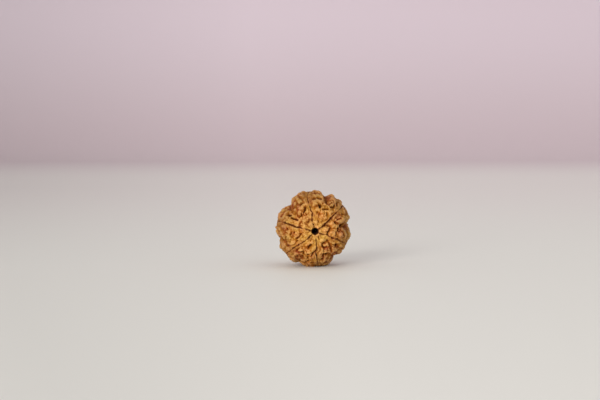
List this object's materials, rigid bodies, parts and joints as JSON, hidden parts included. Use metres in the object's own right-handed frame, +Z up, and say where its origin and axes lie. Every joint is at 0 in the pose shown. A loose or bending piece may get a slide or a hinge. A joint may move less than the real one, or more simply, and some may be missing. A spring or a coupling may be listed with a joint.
{
  "type": "rudraksha seed bead",
  "caption": "Round woody seed stone with lengthwise seams between smooth lips, knobbly pitted lobes and a thread hole from end to end.",
  "frame": {"origin": "on the surface that the seed rests on, under the middle of its bounding box", "axes": "+Y along the thread hole, away from the mouth that the picture shows; +X to the right as that mouth is looked at; +Z up"},
  "size_m": [0.0212, 0.0194, 0.0213],
  "materials": {
    "woody_stone": "dry ochre brown wood, dark in the seams and pits, a little glossy on the worn lips and knobs"
  },
  "bodies": {
    "root": {"rudraksha_seed": "woody_stone"}
  },
  "joints": []
}
